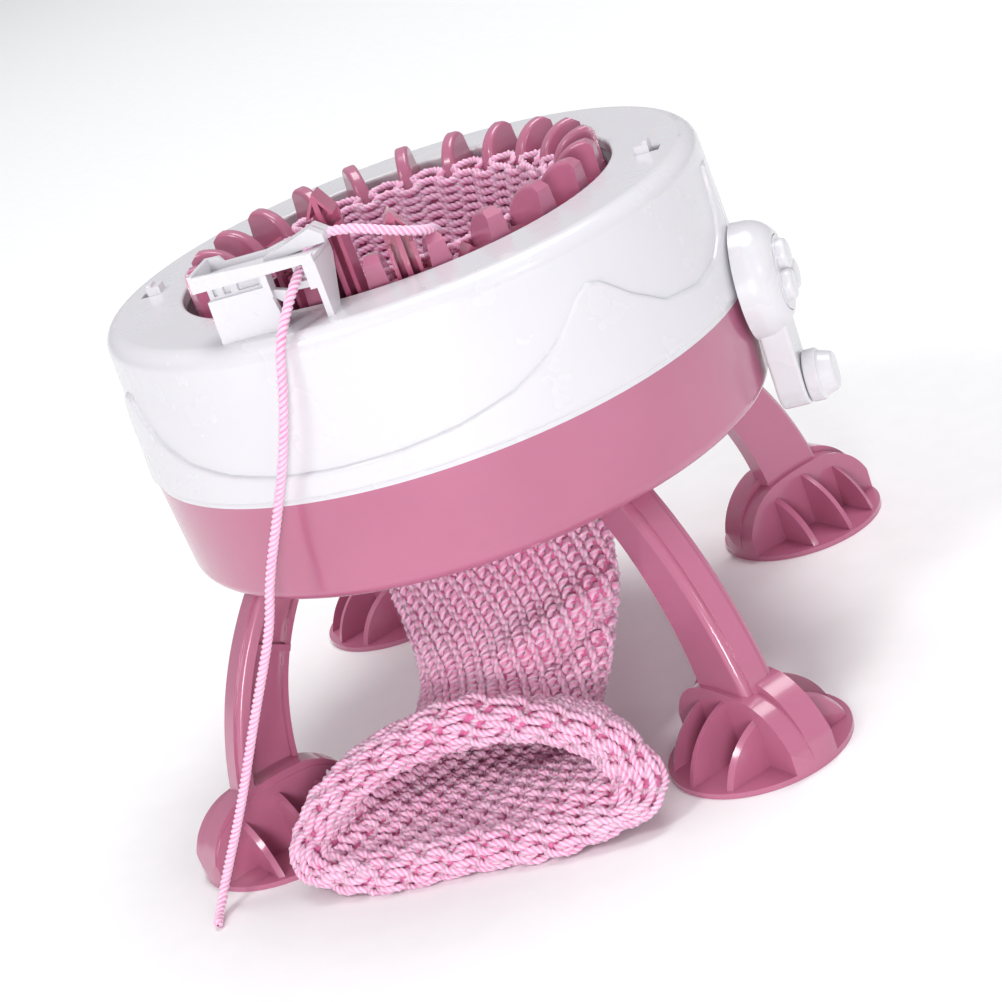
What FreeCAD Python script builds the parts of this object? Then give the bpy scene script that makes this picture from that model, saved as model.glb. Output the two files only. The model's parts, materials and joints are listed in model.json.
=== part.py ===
import FreeCAD, Part
import math
import os

# Hand-cranked circular knitting machine on four legs, in millimetres, +Z up.
# The origin is on the needle ring's axis, on the table. +X points along the crank's axle.

os.makedirs("parts", exist_ok=True)
V = FreeCAD.Vector
ORIGIN = V(0, 0, 0)
X_DIR = V(1, 0, 0)
Y_DIR = V(0, 1, 0)
Z_DIR = V(0, 0, 1)

# ---- body shells
WALL = 2.4
BASE_BOTTOM_Z = 76.0
BASE_BOTTOM_R = 89.6
BASE_EDGE_RADIUS = 4.0
SEAM_Z = 106.3
SEAM_R = 91.1
COVER_TOP_Z = 151.1
COVER_TOP_R = 89.4
COVER_EDGE_RADIUS = 5.0
COVER_HOLE_R = 65.0
COLLAR_INNER_R = 47.0
COLLAR_OUTER_R = 49.8
COLLAR_TOP_Z = 92.0
SCREW_CIRCLE_R = 83.2

# ---- needle ring
NEEDLES = 22
PITCH = 360.0 / NEEDLES
FIN_PHASE = 1.9
NEEDLE_PHASE = FIN_PHASE + PITCH / 2
RING_INNER_R = 50.3
RING_OUTER_R = 62.2
RING_BOTTOM_Z = 82.6
RING_TOP_Z = 147.8
SLOT_FLOOR_R = 53.9
SLOT_WIDTH = 8.0
FIN_TOP_Z = 158.5
FIN_INNER_R = 47.5

# ---- needles and the cam that lifts them
NEEDLE_INNER_R = 54.5
NEEDLE_OUTER_R = 61.6
NEEDLE_HALF_WIDTH = 3.7
NEEDLE_LENGTH = 50.0
NEEDLE_LOW_TOP_Z = 149.5
NEEDLE_LIFT = 29.5
LIFT_CENTRE = NEEDLE_PHASE - 6 * PITCH
LIFT_HALF_WIDTH = 40.2
GABLE = 6.0
BUTT_OUTER_R = 66.0
BUTT_LOW_Z = 104.2
CAM_INNER_R = 66.4
CAM_OUTER_R = 71.8
CAM_BOTTOM_Z = 90.0
CAM_GROOVE_DEPTH = 3.4
CAM_GROOVE_HALF = 4.4

# ---- gear pair
GEAR_TEETH = 72
PINION_TEETH = 12
GEAR_MEAN_R = 76.0
GEAR_FACE = 5.6
GEAR_FLANGE_BOTTOM_Z = 80.2
GEAR_FLANGE = 2.4
TOOTH_ADDENDUM = 2.0
TOOTH_DEDENDUM = 2.6

# ---- crank
CRANK_Z = 107.0
AXLE_R = 3.0
AXLE_START_X = 72.4
HUB_X = 91.8
HUB_R = 17.0
HUB_DEPTH = 11.0
ARM_REACH = 32.0
ARM_HALF_WIDTH = 7.8
ARM_THICK = 8.6
KNOB_R = 7.6

# ---- legs
FOOT_CENTRE_R = 101.3
FOOT_R = 26.1
FOOT_HEIGHT = 23.2
RIB_HEIGHT = 19.0
LEG_HALF_WIDTH = 5.5
FOOT_BAND_HALF = 7.2
LEG_OUTER_CURVE = ((80.0, 76.0), (99.6, 50.0), (110.6, 20.0))
LEG_INNER_CURVE = ((59.0, 76.0), (80.4, 50.0), (89.6, 18.0))

# ---- knitted tube and yarn
FABRIC = 3.0
YARN_D = 2.8
TUBE_TOP_Z = 83.4
TUBE_TOP_R = 34.0


# ======== helpers

def save(name, shape):
    """Writes one node."""
    shape.exportStep(f"parts/{name}.step")
    print(f"{name:20s} solids {len(shape.Solids):3d}  volume {shape.Volume / 1000:8.2f} cm3  valid {shape.isValid()}")


def box(x0, x1, y0, y1, z0, z1):
    return Part.makeBox(x1 - x0, y1 - y0, z1 - z0, V(x0, y0, z0))


def tube(r_in, r_out, z0, z1):
    outer = Part.makeCylinder(r_out, z1 - z0, V(0, 0, z0))
    if r_in <= 0:
        return outer
    return outer.cut(Part.makeCylinder(r_in, z1 - z0 + 2, V(0, 0, z0 - 1)))


def rod(r, start, direction, length):
    return Part.makeCylinder(r, length, V(*start), direction)


def turned(shape, degrees):
    """A copy turned about the ring's axis."""
    copy = shape.copy()
    copy.rotate(ORIGIN, Z_DIR, degrees)
    return copy


def moved(shape, x, y, z):
    copy = shape.copy()
    copy.translate(V(x, y, z))
    return copy


def joined(shapes):
    return shapes[0].fuse(shapes[1:]).removeSplitter()


def rounded_wire(points, radii, closed=True):
    """A wire through points, with an arc of the given radius at each corner where the radius isn't 0."""
    points = [V(*p) for p in points]
    count = len(points)
    edges = []
    ends = []
    for i in range(count):
        if radii[i] == 0 or (not closed and i in (0, count - 1)):
            ends.append((points[i], points[i], None))
            continue
        to_last = (points[i - 1] - points[i]).normalize()
        to_next = (points[(i + 1) % count] - points[i]).normalize()
        half = to_last.getAngle(to_next) / 2
        bisector = (to_last + to_next).normalize()
        reach = radii[i] / math.tan(half)
        middle = points[i] + bisector * (radii[i] / math.sin(half) - radii[i])
        ends.append((points[i] + to_last * reach, points[i] + to_next * reach, middle))
    for i in range(count):
        arrive, leave, middle = ends[i]
        if middle is not None:
            edges.append(Part.Arc(arrive, middle, leave).toShape())
        if i == count - 1 and not closed:
            break
        following = ends[(i + 1) % count][0]
        if leave.distanceToPoint(following) > 1e-6:
            edges.append(Part.LineSegment(leave, following).toShape())
    return Part.Wire(edges)


def revolved(profile):
    """A solid of revolution about Z. The profile is a list of (radius, z, corner radius)."""
    points = [(r, 0, z) for r, z, _ in profile]
    wire = rounded_wire(points, [c for _, _, c in profile])
    return Part.Face(wire).revolve(ORIGIN, Z_DIR, 360)


def prism_xz(points, y0, y1):
    """A polygon in the XZ plane, pulled from y0 to y1."""
    wire = Part.makePolygon([V(x, y0, z) for x, z in points] + [V(points[0][0], y0, points[0][1])])
    return Part.Face(wire).extrude(V(0, y1 - y0, 0))


def prism_yz(points, x0, x1):
    wire = Part.makePolygon([V(x0, y, z) for y, z in points] + [V(x0, points[0][0], points[0][1])])
    return Part.Face(wire).extrude(V(x1 - x0, 0, 0))


def prism_xy(points, z0, z1):
    wire = Part.makePolygon([V(x, y, z0) for x, y in points] + [V(points[0][0], points[0][1], z0)])
    return Part.Face(wire).extrude(V(0, 0, z1 - z0))


def filleted(shape, radius, wanted):
    """Rounds the edges for which wanted(edge) is true."""
    edges = [e for e in shape.Edges if wanted(e)]
    return shape.makeFillet(radius, edges)


def mid(edge):
    return edge.valueAt((edge.FirstParameter + edge.LastParameter) / 2)


# ======== body shells

def cover_outline():
    """The cover's outside, as one solid without its hollow."""
    return revolved([
        (0, SEAM_Z, 0),
        (SEAM_R, SEAM_Z, 0),
        (COVER_TOP_R, COVER_TOP_Z, COVER_EDGE_RADIUS),
        (COVER_HOLE_R, COVER_TOP_Z, 0),
        (COVER_HOLE_R, SEAM_Z + 10, 0),
        (0, SEAM_Z + 10, 0),
    ])


def screw_posts(z0, z1):
    """Four posts that the housing screws go up through, each joined to the wall by a web."""
    posts = []
    for i in range(4):
        post = Part.makeCylinder(3.0, z1 - z0, V(SCREW_CIRCLE_R, 0, z0))
        web = box(SCREW_CIRCLE_R, SEAM_R - WALL + 0.3, -1.2, 1.2, z0, z1)
        posts.append(turned(post.fuse(web), 22.5 + 90 * i))
    return posts


def screw_holes(r, z0, z1):
    holes = []
    for i in range(4):
        holes.append(turned(Part.makeCylinder(r, z1 - z0, V(SCREW_CIRCLE_R, 0, z0)), 22.5 + 90 * i))
    return holes


def base_housing():
    inner_r = SEAM_R - WALL
    shell = revolved([
        (COLLAR_INNER_R, BASE_BOTTOM_Z, 0.8),
        (BASE_BOTTOM_R, BASE_BOTTOM_Z, BASE_EDGE_RADIUS),
        (SEAM_R, SEAM_Z, 0),
        (inner_r, SEAM_Z, 0),
        (BASE_BOTTOM_R - WALL, BASE_BOTTOM_Z + WALL, BASE_EDGE_RADIUS - WALL),
        (COLLAR_OUTER_R, BASE_BOTTOM_Z + WALL, 0),
        (COLLAR_OUTER_R, COLLAR_TOP_Z, 0.6),
        (COLLAR_INNER_R, COLLAR_TOP_Z, 0.6),
    ])
    shell = shell.fuse(screw_posts(BASE_BOTTOM_Z + 1, SEAM_Z))
    cuts = screw_holes(1.6, BASE_BOTTOM_Z - 1, SEAM_Z + 1)
    cuts += screw_holes(2.9, BASE_BOTTOM_Z - 1, BASE_BOTTOM_Z + 1.7)
    cuts += [turned(leg_tongue(0.2), 45 + 90 * i) for i in range(4)]
    cuts.append(rod(bush_radius() + 0.05, (80, 0, CRANK_Z), X_DIR, 20))
    return shell.cut(cuts)


def top_cover():
    shell = revolved([
        (SEAM_R, SEAM_Z, 0),
        (COVER_TOP_R, COVER_TOP_Z, COVER_EDGE_RADIUS),
        (COVER_HOLE_R, COVER_TOP_Z, 1.0),
        (COVER_HOLE_R, COVER_TOP_Z - 4.0, 0.5),
        (COVER_HOLE_R + 1.2, COVER_TOP_Z - 4.0, 0.5),
        (COVER_HOLE_R + 1.2, COVER_TOP_Z - WALL, 0),
        (COVER_TOP_R - WALL, COVER_TOP_Z - WALL, COVER_EDGE_RADIUS - WALL),
        (SEAM_R - WALL, SEAM_Z, 0),
    ])
    shell = shell.fuse(screw_posts(SEAM_Z, SEAM_Z + 20))
    cuts = screw_holes(1.35, SEAM_Z - 1, SEAM_Z + 17)
    cuts += [turned(latch_hole(), a) for a in LATCH_AZIMUTHS]
    cuts.append(rod(bush_radius() + 0.05, (80, 0, CRANK_Z), X_DIR, 20))
    return shell.cut(cuts)


def housing_screws():
    screws = []
    for i in range(4):
        head = Part.makeCylinder(2.6, 1.6, V(SCREW_CIRCLE_R, 0, BASE_BOTTOM_Z + 0.1))
        slot = box(-2.4, 2.4, -0.35, 0.35, BASE_BOTTOM_Z - 1, BASE_BOTTOM_Z + 0.8)
        head = head.cut(moved(slot, SCREW_CIRCLE_R, 0, 0))
        shank = Part.makeCylinder(1.3, 45.0, V(SCREW_CIRCLE_R, 0, BASE_BOTTOM_Z + 1.6))
        screws.append(turned(head.fuse(shank), 22.5 + 90 * i))
    return Part.makeCompound(screws)


LATCH_AZIMUTHS = (0.0, 184.0)


def latch_hole():
    return box(75.6, 80.2, -2.6, 2.6, COVER_TOP_Z - 6, COVER_TOP_Z + 2)


def cover_latches():
    """Two spring hooks that come up through the cover and hold the cam ring to it."""
    latches = []
    for a in LATCH_AZIMUTHS:
        stem = box(76.0, 77.6, -2.2, 2.2, COVER_TOP_Z - 11, COVER_TOP_Z + 3.2)
        head = box(73.6, 77.6, -2.6, 2.6, COVER_TOP_Z + 0.0, COVER_TOP_Z + 2.3)
        foot = box(72.0, 77.6, -2.2, 2.2, COVER_TOP_Z - 11, COVER_TOP_Z - 9)
        latch = joined([stem, head, foot])
        latches.append(turned(latch, a))
    return Part.makeCompound(latches)


# ======== needle ring

def fin():
    """One divider between two needles, at azimuth 0."""
    side_y = -4.5
    crown = V(60.0, side_y, FIN_TOP_Z)
    inner = V(FIN_INNER_R, side_y, RING_TOP_Z - 0.6)
    rise = crown.z - inner.z
    bend = math.radians(48)
    belly = V(crown.x - (crown.x - inner.x) * math.cos(bend), side_y, inner.z + rise * math.sin(bend))
    low = V(SLOT_FLOOR_R - 1.5, side_y, RING_TOP_Z - 8)
    outer_low = V(RING_OUTER_R, side_y, RING_TOP_Z - 8)
    outer_high = V(RING_OUTER_R, side_y, FIN_TOP_Z - 2.0)
    outline = Part.Wire([
        Part.Arc(crown, belly, inner).toShape(),
        Part.LineSegment(inner, low).toShape(),
        Part.LineSegment(low, outer_low).toShape(),
        Part.LineSegment(outer_low, outer_high).toShape(),
        Part.LineSegment(outer_high, crown).toShape(),
    ])
    side = Part.Face(outline).extrude(V(0, -2 * side_y, 0))
    wedge_ends = []
    for x, extra in ((FIN_INNER_R - 2, 0.0), (RING_OUTER_R + 1, 0.9)):
        foot_y, top_y = 3.1 + extra, 1.3 + extra
        z0, z1 = RING_TOP_Z - 9, FIN_TOP_Z + 1
        corners = [V(x, -foot_y, z0), V(x, foot_y, z0), V(x, top_y, z1), V(x, -top_y, z1)]
        wedge_ends.append(Part.makePolygon(corners + [corners[0]]))
    blank = side.common(Part.makeLoft(wedge_ends, True, True))
    return filleted(blank, 1.2, is_fin_brow)


def is_fin_brow(edge):
    """The long edges of a fin's curved back, on both of its sides."""
    point = mid(edge)
    return abs(point.y) > 1.0 and point.z > RING_TOP_Z + 1 and point.x < 60.2 and edge.Length > 4


def needle_cylinder():
    """The turning ring that carries the needles: a slotted cylinder with a fin beside each slot."""
    blank = tube(RING_INNER_R, RING_OUTER_R, RING_BOTTOM_Z, RING_TOP_Z)
    slot = box(SLOT_FLOOR_R, RING_OUTER_R + 2, -SLOT_WIDTH / 2, SLOT_WIDTH / 2, RING_BOTTOM_Z - 1, RING_TOP_Z + 1)
    slots = [turned(slot, NEEDLE_PHASE + PITCH * i) for i in range(NEEDLES)]
    ring = blank.cut(slots)
    one = fin()
    fins = [turned(one, FIN_PHASE + PITCH * i) for i in range(NEEDLES)]
    ring = ring.fuse(fins)
    return ring.cut(ring_screw_holes(1.35, RING_BOTTOM_Z - 1, RING_BOTTOM_Z + 12))


RING_SCREW_FINS = (0, 5, 11, 16)


def ring_screw_holes(r, z0, z1):
    hole = Part.makeCylinder(r, z1 - z0, V(57.6, 0, z0))
    return [turned(hole, FIN_PHASE + PITCH * i) for i in RING_SCREW_FINS]


def ring_screws():
    screws = []
    for i in RING_SCREW_FINS:
        head = Part.makeCylinder(2.4, 1.4, V(57.6, 0, GEAR_FLANGE_BOTTOM_Z + 0.1))
        head = head.cut(box(55.4, 59.8, -0.35, 0.35, GEAR_FLANGE_BOTTOM_Z - 1, GEAR_FLANGE_BOTTOM_Z + 0.7))
        shank = Part.makeCylinder(1.3, 11.0, V(57.6, 0, GEAR_FLANGE_BOTTOM_Z + 1.4))
        screws.append(turned(head.fuse(shank), FIN_PHASE + PITCH * i))
    return Part.makeCompound(screws)


def needle_lift(azimuth):
    """How far the cam has raised a needle at this azimuth."""
    away = abs((azimuth - LIFT_CENTRE + 180) % 360 - 180)
    if away >= LIFT_HALF_WIDTH:
        return 0.0
    return NEEDLE_LIFT * 0.5 * (1 + math.cos(math.pi * away / LIFT_HALF_WIDTH))


def needle_blank():
    """One needle at azimuth 0, in its low place: a channel open outwards, with a middle rib, a pointed hook and a butt."""
    top = NEEDLE_LOW_TOP_Z
    bottom = top - NEEDLE_LENGTH
    w = NEEDLE_HALF_WIDTH
    shape = prism_yz([(-w, bottom), (w, bottom), (w, top - GABLE), (0, top), (-w, top - GABLE)],
                     NEEDLE_INNER_R, NEEDLE_OUTER_R)
    pocket_floor = NEEDLE_INNER_R + 1.7
    slope = GABLE / w
    pockets = []
    for side in (-1, 1):
        near, far = 0.75 * side, (w - 1.1) * side
        pockets.append(prism_yz([(near, bottom + 12), (far, bottom + 12), (far, top - 1.5 - slope * abs(far)),
                                 (near, top - 1.5 - slope * abs(near))], pocket_floor, NEEDLE_OUTER_R + 1))
    throat = box(pocket_floor, NEEDLE_OUTER_R + 1, -w - 1, w + 1, top - GABLE - 3.6, top - GABLE - 0.4)
    shape = shape.cut(pockets + [throat])
    rib_front = box(NEEDLE_OUTER_R - 1.6, NEEDLE_OUTER_R, -0.75, 0.75, top - GABLE - 4.2, top - GABLE + 0.4)
    butt = box(NEEDLE_OUTER_R - 2, BUTT_OUTER_R, -2.2, 2.2, BUTT_LOW_Z - 1.75, BUTT_LOW_Z + 1.75)
    return joined([shape, rib_front, butt])


def needles():
    blank = needle_blank()
    for i in range(NEEDLES):
        azimuth = NEEDLE_PHASE + PITCH * i
        lift = needle_lift(azimuth)
        save(f"needle_{i + 1:02d}", turned(moved(blank, 0, 0, lift), azimuth))
        print(f"  needle {i + 1:2d} azimuth {azimuth:7.2f} lift {lift:6.2f}")


def cam_ring():
    """The fixed ring outside the needles, with the wavy groove that lifts their butts."""
    blank = tube(CAM_INNER_R, CAM_OUTER_R, CAM_BOTTOM_Z, COVER_TOP_Z - WALL)
    sections = []
    steps = 72
    for i in range(steps + 1):
        azimuth = LIFT_CENTRE + 180 + 360.0 * i / steps
        z = BUTT_LOW_Z + needle_lift(azimuth)
        a = math.radians(azimuth)
        corners = []
        for r, dz in ((CAM_INNER_R - 3, -1), (CAM_INNER_R + CAM_GROOVE_DEPTH, -1),
                      (CAM_INNER_R + CAM_GROOVE_DEPTH, 1), (CAM_INNER_R - 3, 1)):
            corners.append(V(r * math.cos(a), r * math.sin(a), z + dz * CAM_GROOVE_HALF))
        sections.append(Part.makePolygon(corners + [corners[0]]))
    half = steps // 2
    first = Part.makeLoft(sections[:half + 1], True, True)
    second = Part.makeLoft(sections[half:], True, True)
    return blank.cut([first, second])


# ======== gear pair and bearings

def crown_tooth():
    """One tooth of the crown gear at azimuth 0, standing on the ring's upper edge."""
    pitch_z = CRANK_Z - GEAR_MEAN_R * PINION_TEETH / GEAR_TEETH
    root = pitch_z - TOOTH_DEDENDUM
    tip = pitch_z + TOOTH_ADDENDUM
    r0 = GEAR_MEAN_R - GEAR_FACE / 2
    return prism_yz([(-1.75, root - 1), (1.75, root - 1), (1.75, root), (0.7, tip), (-0.7, tip), (-1.75, root)],
                    r0, r0 + GEAR_FACE)


def drive_gear():
    """Crown gear with a flange under the needle ring and its teeth facing up."""
    pitch_z = CRANK_Z - GEAR_MEAN_R * PINION_TEETH / GEAR_TEETH
    r0 = GEAR_MEAN_R - GEAR_FACE / 2
    r1 = GEAR_MEAN_R + GEAR_FACE / 2
    flange_top = GEAR_FLANGE_BOTTOM_Z + GEAR_FLANGE
    body = revolved([
        (RING_INNER_R, GEAR_FLANGE_BOTTOM_Z, 0),
        (r1, GEAR_FLANGE_BOTTOM_Z, 0.8),
        (r1, pitch_z - TOOTH_DEDENDUM, 0),
        (r0, pitch_z - TOOTH_DEDENDUM, 0),
        (r0, flange_top, 0),
        (RING_INNER_R, flange_top, 0),
    ])
    tooth = crown_tooth()
    teeth = [turned(tooth, 360.0 / GEAR_TEETH * (i + 0.5)) for i in range(GEAR_TEETH)]
    body = body.fuse(teeth)
    cuts = ring_screw_holes(1.5, GEAR_FLANGE_BOTTOM_Z - 1, flange_top + 1)
    cuts += ring_screw_holes(2.6, GEAR_FLANGE_BOTTOM_Z - 1, GEAR_FLANGE_BOTTOM_Z + 1.5)
    return body.cut(cuts)


def crank_pinion():
    pitch_r = GEAR_MEAN_R * PINION_TEETH / GEAR_TEETH
    x0 = GEAR_MEAN_R - GEAR_FACE / 2
    core = rod(pitch_r - TOOTH_DEDENDUM, (x0, 0, CRANK_Z), X_DIR, GEAR_FACE)
    root = pitch_r - TOOTH_DEDENDUM
    tip = pitch_r + TOOTH_ADDENDUM - 0.3
    tooth = prism_yz([(-1.6, root - 1), (1.6, root - 1), (1.6, root + 0.6), (0.65, tip), (-0.65, tip), (-1.6, root + 0.6)],
                     x0, x0 + GEAR_FACE)
    teeth = []
    for i in range(PINION_TEETH):
        copy = tooth.copy()
        copy.rotate(ORIGIN, X_DIR, 360.0 / PINION_TEETH * i)
        copy.translate(V(0, 0, CRANK_Z))
        teeth.append(copy)
    gear = core.fuse(teeth)
    bore = rod(AXLE_R, (x0 - 1, 0, CRANK_Z), X_DIR, GEAR_FACE + 2)
    bore = bore.cut(box(x0 - 1, x0 + GEAR_FACE + 1, -4, 4, CRANK_Z + AXLE_FLAT, CRANK_Z + 4))
    return gear.cut(bore)


AXLE_FLAT = 2.3


def bush_radius():
    return AXLE_R + 2.2


def crank_bush():
    """Flanged bush in the wall, split between the two shells."""
    sleeve = rod(bush_radius(), (82.0, 0, CRANK_Z), X_DIR, HUB_X - 82.0 - 0.5)
    flange = rod(bush_radius() + 2, (80.6, 0, CRANK_Z), X_DIR, 1.8)
    bore = rod(AXLE_R + 0.06, (80, 0, CRANK_Z), X_DIR, 20)
    return joined([sleeve, flange]).cut(bore)


def crank_shaft():
    axle = rod(AXLE_R, (AXLE_START_X, 0, CRANK_Z), X_DIR, HUB_X + 7 - AXLE_START_X)
    flat_inner = box(AXLE_START_X - 1, 79.4, -4, 4, CRANK_Z + AXLE_FLAT, CRANK_Z + 4)
    flat_outer = box(HUB_X, HUB_X + 8, -4, 4, CRANK_Z + AXLE_FLAT, CRANK_Z + 4)
    return axle.cut([flat_inner, flat_outer])


def bearing_ring():
    """Slippery washer between the base's floor and the turning gear."""
    return tube(64.0, 70.0, BASE_BOTTOM_Z + WALL, GEAR_FLANGE_BOTTOM_Z - 0.3)


# ======== crank

def crank_arm():
    dome = Part.Wire([
        Part.LineSegment(V(0, 0, 0), V(HUB_R, 0, 0)).toShape(),
        Part.LineSegment(V(HUB_R, 0, 0), V(HUB_R - 0.2, 0, 3.0)).toShape(),
        Part.Arc(V(HUB_R - 0.2, 0, 3.0), V(HUB_R - 1.9, 0, 8.2), V(12.0, 0, HUB_DEPTH)).toShape(),
        Part.LineSegment(V(12.0, 0, HUB_DEPTH), V(0, 0, HUB_DEPTH)).toShape(),
        Part.LineSegment(V(0, 0, HUB_DEPTH), V(0, 0, 0)).toShape(),
    ])
    hub = Part.Face(dome).revolve(ORIGIN, Z_DIR, 360)
    hub.rotate(ORIGIN, Y_DIR, 90)
    hub.translate(V(HUB_X, 0, CRANK_Z))
    tip_z = CRANK_Z - ARM_REACH
    arm = box(HUB_X + 0.2, HUB_X + ARM_THICK, -ARM_HALF_WIDTH, ARM_HALF_WIDTH, tip_z, CRANK_Z)
    end = rod(ARM_HALF_WIDTH, (HUB_X + 0.2, 0, tip_z), X_DIR, ARM_THICK - 0.2)
    bar = joined([arm, end])
    bar = filleted(bar, 0.9, lambda e: mid(e).z < CRANK_Z - 1 and abs(mid(e).x - (HUB_X + ARM_THICK / 2 + 0.1)) > 3)
    body = joined([hub, bar])
    bore = rod(AXLE_R, (HUB_X - 1, 0, CRANK_Z), X_DIR, 8.1)
    bore = bore.cut(box(HUB_X - 2, HUB_X + 9, -4, 4, CRANK_Z + AXLE_FLAT, CRANK_Z + 4))
    recess = rod(11.0, (HUB_X + HUB_DEPTH - 1.2, 0, CRANK_Z), X_DIR, 5)
    screw_pocket = rod(3.0, (HUB_X + 7.1, 0, CRANK_Z), X_DIR, 6)
    pin_hole = rod(2.0, (HUB_X - 1, 0, tip_z), X_DIR, ARM_THICK + 3)
    return body.cut([bore, recess, screw_pocket, pin_hole])


def hub_cap():
    """Three-lobed cap over the axle's screw."""
    x0 = HUB_X + HUB_DEPTH - 1.2
    disc = rod(10.8, (x0, 0, CRANK_Z), X_DIR, 1.6)
    lobes = []
    for i in range(3):
        lobe = rod(4.6, (x0 + 1.0, 0, 0), X_DIR, 3.4)
        lobe.translate(V(0, 0, 5.0))
        lobe.rotate(ORIGIN, X_DIR, 120 * i)
        lobe.translate(V(0, 0, CRANK_Z))
        lobes.append(filleted(lobe, 1.6, lambda e: mid(e).x > x0 + 4.3 and e.Length > 15))
    return joined([disc] + lobes)


def crank_screw():
    """Screw that holds the crank on its axle, under the cap."""
    x0 = HUB_X + 7.2
    head = rod(2.8, (x0, 0, CRANK_Z), X_DIR, 1.6)
    return head


def knob_pin():
    tip_z = CRANK_Z - ARM_REACH
    shank = rod(1.98, (HUB_X + 0.6, 0, tip_z), X_DIR, ARM_THICK + 4.6)
    head = rod(3.2, (HUB_X + ARM_THICK + 5.2, 0, tip_z), X_DIR, 1.2)
    return joined([shank, head])


def crank_knob():
    tip_z = CRANK_Z - ARM_REACH
    x0 = HUB_X + ARM_THICK + 0.3
    profile = [(2.06, 0.0, 0), (KNOB_R, 0.0, 0.6), (KNOB_R, 3.9, 0.4), (KNOB_R - 0.6, 4.1, 0), (KNOB_R - 1.0, 4.6, 0),
               (5.4, 8.4, 1.0), (0.0, 8.4, 0), (0.0, 6.5, 0), (3.4, 6.5, 0), (3.4, 4.7, 0), (2.06, 4.7, 0)]
    points = [(r, 0, x) for r, x, _ in profile]
    solid = Part.Face(rounded_wire(points, [c for _, _, c in profile])).revolve(ORIGIN, Z_DIR, 360)
    solid.rotate(ORIGIN, Y_DIR, 90)
    solid.translate(V(x0, 0, tip_z))
    return solid


# ======== legs

def circle_through(a, b, c):
    """Centre and radius of the circle through three (x, z) points."""
    ax, az, bx, bz, cx, cz = *a, *b, *c
    d = 2 * (ax * (bz - cz) + bx * (cz - az) + cx * (az - bz))
    a2, b2, c2 = ax * ax + az * az, bx * bx + bz * bz, cx * cx + cz * cz
    ux = (a2 * (bz - cz) + b2 * (cz - az) + c2 * (az - bz)) / d
    uz = (a2 * (cx - bx) + b2 * (ax - cx) + c2 * (bx - ax)) / d
    return (ux, uz), math.hypot(ax - ux, az - uz)


def offset_curve(curve, distance):
    """The same three points moved away from their circle's centre."""
    centre, _ = circle_through(*curve)
    moved_points = []
    for x, z in curve:
        dx, dz = x - centre[0], z - centre[1]
        length = math.hypot(dx, dz)
        moved_points.append((x + dx / length * distance, z + dz / length * distance))
    return moved_points


def strip(outer, inner, y0, y1):
    """The region between two curves, pulled from y0 to y1."""
    o = [V(x, y0, z) for x, z in outer]
    n = [V(x, y0, z) for x, z in inner]
    wire = Part.Wire([
        Part.Arc(o[0], o[1], o[2]).toShape(),
        Part.LineSegment(o[2], n[2]).toShape(),
        Part.Arc(n[2], n[1], n[0]).toShape(),
        Part.LineSegment(n[0], o[0]).toShape(),
    ])
    return Part.Face(wire).extrude(V(0, y1 - y0, 0))


def leg_tongue(gap):
    """The tab on a leg that snaps up into the base's floor."""
    return box(64.0 - gap, 78.0 + gap, -5.0 - gap, -1.2 + gap, BASE_BOTTOM_Z - 0.5, BASE_BOTTOM_Z + WALL - 0.1 + 5 * gap)


def arch(reach, shoulder, top, y0, y1):
    """A strip over the foot: a symmetric arch in the XZ plane, pulled from y0 to y1."""
    ends = [V(reach, y0, 1.4), V(-reach, y0, 1.4)]
    shoulders = [V(shoulder, y0, top - 0.6), V(-shoulder, y0, top - 0.6)]
    knee_x, knee_z = 0.81 * reach, 0.69 * top
    wire = Part.Wire([
        Part.LineSegment(V(-reach, y0, 0), V(reach, y0, 0)).toShape(),
        Part.LineSegment(V(reach, y0, 0), ends[0]).toShape(),
        Part.Arc(ends[0], V(knee_x, y0, knee_z), shoulders[0]).toShape(),
        Part.Arc(shoulders[0], V(0, y0, top), shoulders[1]).toShape(),
        Part.Arc(shoulders[1], V(-knee_x, y0, knee_z), ends[1]).toShape(),
        Part.LineSegment(ends[1], V(-reach, y0, 0)).toShape(),
    ])
    return Part.Face(wire).extrude(V(0, y1 - y0, 0))


def foot():
    """Foot with an arched middle band, and three ribs on each side of it, at its own centre."""
    rib_dome = Part.Face(Part.Wire([
        Part.LineSegment(V(0, 0, 0), V(FOOT_R - 1.3, 0, 0)).toShape(),
        Part.LineSegment(V(FOOT_R - 1.3, 0, 0), V(FOOT_R - 1.3, 0, 1.4)).toShape(),
        Part.Arc(V(FOOT_R - 1.3, 0, 1.4), V(17.8, 0, 12.8), V(0, 0, RIB_HEIGHT)).toShape(),
        Part.LineSegment(V(0, 0, RIB_HEIGHT), V(0, 0, 0)).toShape(),
    ])).revolve(ORIGIN, Z_DIR, 360)
    plate = Part.makeCylinder(FOOT_R, 1.6)
    column = Part.makeCylinder(FOOT_R, 40)
    band = arch(FOOT_R, 9.0, FOOT_HEIGHT - 2.2, -FOOT_BAND_HALF, FOOT_BAND_HALF).common(column)
    crest = arch(FOOT_R, 10.5, FOOT_HEIGHT, -1.2, FOOT_BAND_HALF - 0.5).common(column)
    ribs = [rib_dome.common(box(x - 0.8, x + 0.8, -30, 30, 0, 40)) for x in (-12.0, 0.5, 13.0)]
    return joined([plate, band, crest] + ribs)


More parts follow.
